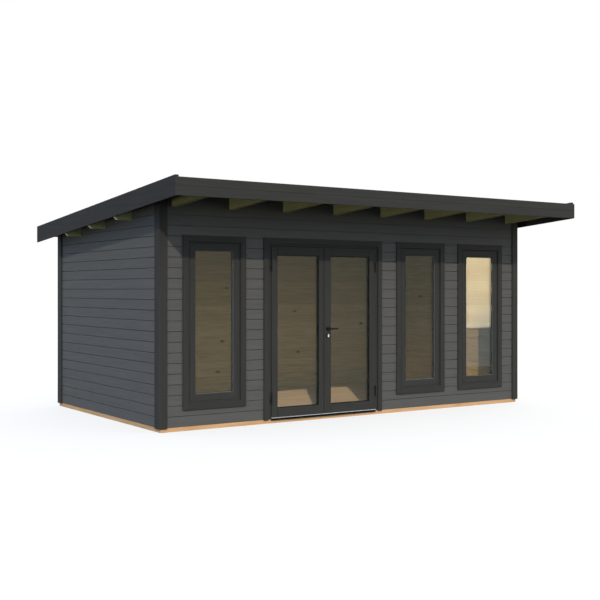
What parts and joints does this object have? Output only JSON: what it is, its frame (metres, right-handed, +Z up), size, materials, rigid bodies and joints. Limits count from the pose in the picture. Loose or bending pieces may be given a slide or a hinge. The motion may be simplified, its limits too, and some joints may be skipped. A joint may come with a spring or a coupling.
{
  "type": "garden house",
  "caption": "Timber garden house with a pent roof falling to the back, a deep front canopy on rafters, a glazed double door and tall fixed windows in a boarded front.",
  "frame": {"origin": "on the ground, under the middle of the roof's outline", "axes": "+X to the right along the front as seen from outside, +Y from the front to the back, +Z up; the door faces -Y"},
  "size_m": [5.76, 4.03, 2.6549],
  "materials": {
    "timber_base": "sawn pine, clear",
    "floor_wood": "planed pine boards",
    "wall_paint": "grey stain, matte",
    "trim_paint": "dark grey paint, satin",
    "joinery_paint": "dark grey paint, satin",
    "dark_sill": "black stain",
    "threshold_metal": "mill finish",
    "window_pane": "clear double glazing",
    "hinge_metal": "dark grey coating",
    "handle_black": "black, satin",
    "cylinder_metal": "nickel",
    "rafter_timber": "olive stain",
    "dark_soffit": "dark stain",
    "covering": "bitumen-look roofing sheet",
    "fascia_paint": "dark grey paint, satin"
  },
  "bodies": {
    "house": {"base_timbers_long": "timber_base", "base_timbers_short": "timber_base", "floor_joists": "timber_base", "floor_boards": "floor_wood", "front_wall_piers": "wall_paint", "front_wall_under_windows": "wall_paint", "front_wall_head": "wall_paint", "back_wall": "wall_paint", "side_walls": "wall_paint", "corner_trims": "trim_paint", "window_trim_uprights": "trim_paint", "window_trim_rails": "trim_paint", "door_trim_posts": "trim_paint", "door_trim_head": "trim_paint", "window_frame_uprights": "joinery_paint", "window_frame_rails": "joinery_paint", "window_sash_stiles": "joinery_paint", "window_sash_rails": "joinery_paint", "door_frame_posts": "joinery_paint", "door_frame_head": "joinery_paint", "door_sill": "dark_sill", "door_threshold": "threshold_metal", "window_glass": "window_pane", "frame_hinges": "hinge_metal", "rafters": "rafter_timber", "lookouts": "rafter_timber", "rafter_blocks": "dark_soffit", "roof_boards": "dark_soffit", "roof_covering": "covering", "front_fascia": "fascia_paint", "back_fascia": "fascia_paint", "side_fascias": "fascia_paint", "roof_edge_battens": "fascia_paint"},
    "left_leaf": {"left_leaf_stiles": "joinery_paint", "left_leaf_rails": "joinery_paint", "left_leaf_glass": "window_pane", "left_leaf_hinges": "hinge_metal"},
    "right_leaf": {"right_leaf_stiles": "joinery_paint", "right_leaf_rails": "joinery_paint", "right_leaf_glass": "window_pane", "right_leaf_hinges": "hinge_metal", "handle_rosettes": "handle_black", "lock_cylinder": "cylinder_metal"},
    "lever": {"lever_handle": "handle_black"}
  },
  "joints": [
    {"name": "left_leaf_hinge", "type": "hinge", "parent": "house", "child": "left_leaf", "pos_m": [-1.263, -1.216, 0.29], "axis": [0, 0, -1], "range_deg": [0, 110]},
    {"name": "right_leaf_hinge", "type": "hinge", "parent": "house", "child": "right_leaf", "pos_m": [0.23, -1.216, 0.29], "axis": [0, 0, 1], "range_deg": [0, 110]},
    {"name": "lever_turn", "type": "hinge", "parent": "right_leaf", "child": "lever", "pos_m": [-0.4755, -1.203, 1.061], "axis": [0, 1, 0], "range_deg": [0, 40], "stiffness_Nm_per_rad": 1.5, "springref_deg": -11.46}
  ]
}
